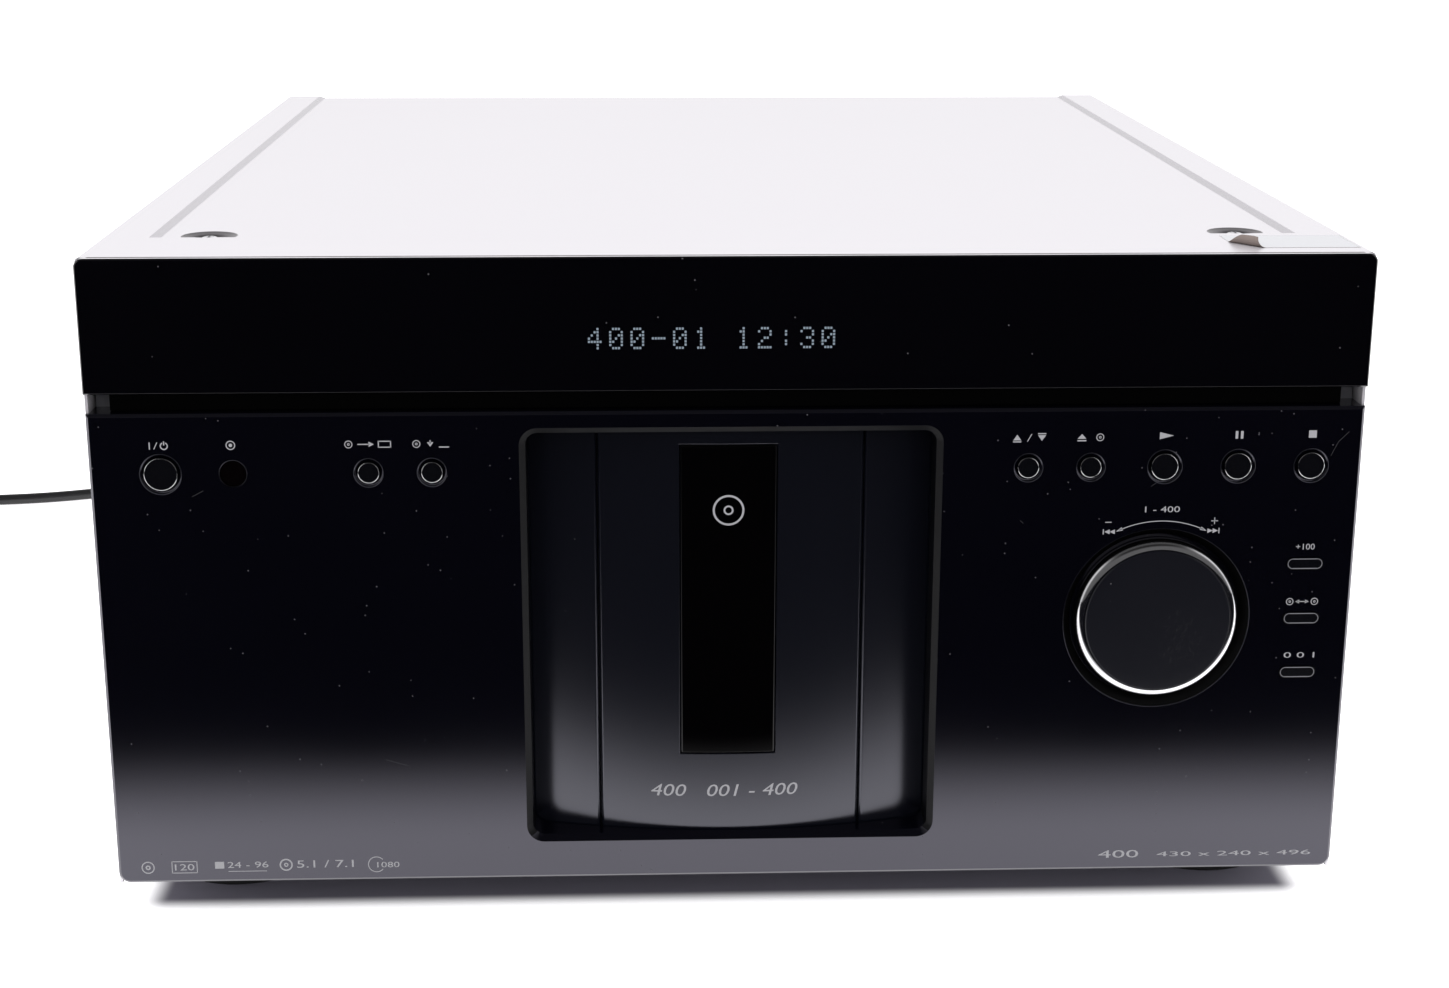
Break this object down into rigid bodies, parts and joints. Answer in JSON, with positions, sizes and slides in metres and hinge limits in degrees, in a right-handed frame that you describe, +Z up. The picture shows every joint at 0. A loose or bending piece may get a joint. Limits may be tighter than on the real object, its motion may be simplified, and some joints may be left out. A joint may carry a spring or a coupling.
{
  "type": "disc changer",
  "caption": "Wide disc changer with a carousel of upright discs, a curved turning front door, a jog dial, push buttons, a readout and rear sockets.",
  "frame": {"origin": "bottom centre of the casing with its dial and sockets, on the surface it stands on", "axes": "+Z up, -Y the front, +X the viewer's right when looking at the front"},
  "size_m": [0.7037, 0.5962, 0.24],
  "materials": {
    "bottom_chassis": "galvanised",
    "carousel_bearings": "natural",
    "carousel_table": "satin",
    "casing_screws": "satin",
    "change_button": "satin with a bright edge",
    "clamp_arm": "satin",
    "clamp_puck": "satin",
    "control_boards": "lacquered board",
    "cord_gland": "matt",
    "dial_cap": "matt",
    "dial_ring": "polished",
    "display_module": "glossy",
    "door_button": "satin with a bright edge",
    "door_carrier": "satin",
    "door_gear": "natural",
    "door_leaf": "satin",
    "door_motor": "satin",
    "door_motor_pinion": "machined",
    "door_rails": "matt",
    "door_strip": "high gloss",
    "door_wings": "satin",
    "drive_motors": "satin",
    "drive_plate": "satin",
    "drive_stand": "galvanised",
    "eject_button": "satin with a bright edge",
    "fan_frame": "matt",
    "fan_impeller": "matt",
    "feet": "satin",
    "foot_pads": "matt",
    "front_frame": "galvanised",
    "groove_trim": "matt",
    "guide_rods": "polished",
    "load_button": "satin with a bright edge",
    "loading_lever": "natural",
    "lower_fascia": "satin",
    "main_board": "lacquered board",
    "pause_button": "satin with a bright edge",
    "pickup_sled": "satin",
    "play_button": "satin with a bright edge",
    "plus_button": "satin with a bright edge",
    "power_board": "lacquered board",
    "power_button": "satin with a bright edge",
    "power_cord": "satin",
    "power_cord_coil": "satin",
    "power_plug": "satin",
    "rear_panel": "satin",
    "rear_sockets": "satin",
    "ring_gear": "natural",
    "search_button": "satin with a bright edge",
    "sensor_window": "gloss",
    "slot_button": "satin with a bright edge",
    "slot_ring": "satin",
    "stop_button": "satin with a bright edge",
    "table_drive_gear": "natural",
    "table_motor": "satin",
    "table_pinion": "machined",
    "top_cover": "semi-gloss",
    "turntable": "satin",
    "upper_deck": "galvanised",
    "upper_fascia": "high gloss"
  },
  "bodies": {
    "casing": {"bottom_chassis": "bottom_chassis", "carousel_bearings": "carousel_bearings", "casing_screws": "casing_screws", "control_boards": "control_boards", "cord_gland": "cord_gland", "display_module": "display_module", "door_motor": "door_motor", "door_rails": "door_rails", "drive_motors": "drive_motors", "drive_plate": "drive_plate", "drive_stand": "drive_stand", "fan_frame": "fan_frame", "feet": "feet", "foot_pads": "foot_pads", "front_frame": "front_frame", "groove_trim": "groove_trim", "guide_rods": "guide_rods", "lower_fascia": "lower_fascia", "main_board": "main_board", "power_board": "power_board", "power_cord": "power_cord", "power_cord_coil": "power_cord_coil", "power_plug": "power_plug", "rear_panel": "rear_panel", "rear_sockets": "rear_sockets", "sensor_window": "sensor_window", "table_motor": "table_motor", "top_cover": "top_cover", "upper_deck": "upper_deck", "upper_fascia": "upper_fascia"},
    "carousel": {"carousel_table": "carousel_table", "slot_ring": "slot_ring", "ring_gear": "ring_gear"},
    "table_gear": {"table_drive_gear": "table_drive_gear"},
    "table_motor_shaft": {"table_pinion": "table_pinion"},
    "door": {"door_carrier": "door_carrier", "door_leaf": "door_leaf", "door_strip": "door_strip", "door_wings": "door_wings"},
    "door_pinion": {"door_gear": "door_gear"},
    "door_motor_shaft": {"door_motor_pinion": "door_motor_pinion"},
    "dial": {"dial_cap": "dial_cap", "dial_ring": "dial_ring"},
    "sled": {"pickup_sled": "pickup_sled"},
    "spindle": {"turntable": "turntable"},
    "clamp": {"clamp_arm": "clamp_arm", "clamp_puck": "clamp_puck"},
    "lever": {"loading_lever": "loading_lever"},
    "fan": {"fan_impeller": "fan_impeller"},
    "power_button": {"power_button": "power_button"},
    "slot_button": {"slot_button": "slot_button"},
    "load_button": {"load_button": "load_button"},
    "door_button": {"door_button": "door_button"},
    "eject_button": {"eject_button": "eject_button"},
    "play_button": {"play_button": "play_button"},
    "pause_button": {"pause_button": "pause_button"},
    "stop_button": {"stop_button": "stop_button"},
    "plus_button": {"plus_button": "plus_button"},
    "change_button": {"change_button": "change_button"},
    "search_button": {"search_button": "search_button"}
  },
  "joints": [
    {"name": "carousel_turn", "type": "hinge", "parent": "casing", "child": "carousel", "pos_m": [0, -0.0146, 0], "axis": [0, 0, 1], "continuous": true},
    {"name": "table_gear_turn", "type": "hinge", "parent": "casing", "child": "table_gear", "pos_m": [0.074, -0.0146, 0.02], "axis": [0, 0, 1], "continuous": true},
    {"name": "table_motor_turn", "type": "hinge", "parent": "casing", "child": "table_motor_shaft", "pos_m": [0.046, -0.0146, 0.03], "axis": [0, 0, 1], "continuous": true},
    {"name": "door_turn", "type": "hinge", "parent": "casing", "child": "door", "pos_m": [0, -0.0146, 0], "axis": [0, 0, -1], "range_deg": [0, 39]},
    {"name": "door_pinion_turn", "type": "hinge", "parent": "casing", "child": "door_pinion", "pos_m": [-0.0721, -0.21821, 0.18], "axis": [0, 0, -1], "range_deg": [0, 976]},
    {"name": "door_motor_turn", "type": "hinge", "parent": "casing", "child": "door_motor_shaft", "pos_m": [-0.08766, -0.20265, 0.19], "axis": [0, 0, -1], "range_deg": [-2601, 0]},
    {"name": "dial_turn", "type": "hinge", "parent": "casing", "child": "dial", "pos_m": [0.1471, -0.2506, 0.1128], "axis": [0, 1, 0], "continuous": true},
    {"name": "sled_slide", "type": "slide", "parent": "casing", "child": "sled", "axis": [0, 1, 0], "range_m": [0, 0.034]},
    {"name": "spindle_turn", "type": "hinge", "parent": "casing", "child": "spindle", "pos_m": [0, -0.0146, 0.106], "axis": [1, 0, 0], "continuous": true},
    {"name": "clamp_swing", "type": "hinge", "parent": "casing", "child": "clamp", "pos_m": [0.01, -0.0806, 0.106], "axis": [0, 0, 1], "range_deg": [0, 8]},
    {"name": "loading_lever_swing", "type": "hinge", "parent": "casing", "child": "lever", "pos_m": [0, 0.2074, 0.064], "axis": [1, 0, 0], "range_deg": [0, 35]},
    {"name": "fan_turn", "type": "hinge", "parent": "casing", "child": "fan", "pos_m": [0.15, 0.235, 0.2127], "axis": [0, 1, 0], "continuous": true},
    {"name": "power_press", "type": "slide", "parent": "casing", "child": "power_button", "axis": [0, 1, 0], "range_m": [0, 0.001], "stiffness_N_per_m": 300, "springref_m": -0.0005},
    {"name": "slot_press", "type": "slide", "parent": "casing", "child": "slot_button", "axis": [0, 1, 0], "range_m": [0, 0.001], "stiffness_N_per_m": 300, "springref_m": -0.0005},
    {"name": "load_press", "type": "slide", "parent": "casing", "child": "load_button", "axis": [0, 1, 0], "range_m": [0, 0.001], "stiffness_N_per_m": 300, "springref_m": -0.0005},
    {"name": "door_press", "type": "slide", "parent": "casing", "child": "door_button", "axis": [0, 1, 0], "range_m": [0, 0.001], "stiffness_N_per_m": 300, "springref_m": -0.0005},
    {"name": "eject_press", "type": "slide", "parent": "casing", "child": "eject_button", "axis": [0, 1, 0], "range_m": [0, 0.001], "stiffness_N_per_m": 300, "springref_m": -0.0005},
    {"name": "play_press", "type": "slide", "parent": "casing", "child": "play_button", "axis": [0, 1, 0], "range_m": [0, 0.001], "stiffness_N_per_m": 300, "springref_m": -0.0005},
    {"name": "pause_press", "type": "slide", "parent": "casing", "child": "pause_button", "axis": [0, 1, 0], "range_m": [0, 0.001], "stiffness_N_per_m": 300, "springref_m": -0.0005},
    {"name": "stop_press", "type": "slide", "parent": "casing", "child": "stop_button", "axis": [0, 1, 0], "range_m": [0, 0.001], "stiffness_N_per_m": 300, "springref_m": -0.0005},
    {"name": "plus_press", "type": "slide", "parent": "casing", "child": "plus_button", "axis": [0, 1, 0], "range_m": [0, 0.001], "stiffness_N_per_m": 300, "springref_m": -0.0005},
    {"name": "change_press", "type": "slide", "parent": "casing", "child": "change_button", "axis": [0, 1, 0], "range_m": [0, 0.001], "stiffness_N_per_m": 300, "springref_m": -0.0005},
    {"name": "search_press", "type": "slide", "parent": "casing", "child": "search_button", "axis": [0, 1, 0], "range_m": [0, 0.001], "stiffness_N_per_m": 300, "springref_m": -0.0005}
  ],
  "couplings": [
    {"joint": "table_gear_turn", "follows": "carousel_turn", "ratio": 5.625},
    {"joint": "table_motor_turn", "follows": "carousel_turn", "ratio": -20.625},
    {"joint": "door_pinion_turn", "follows": "door_turn", "ratio": 25},
    {"joint": "door_motor_turn", "follows": "door_turn", "ratio": -66.667}
  ]
}
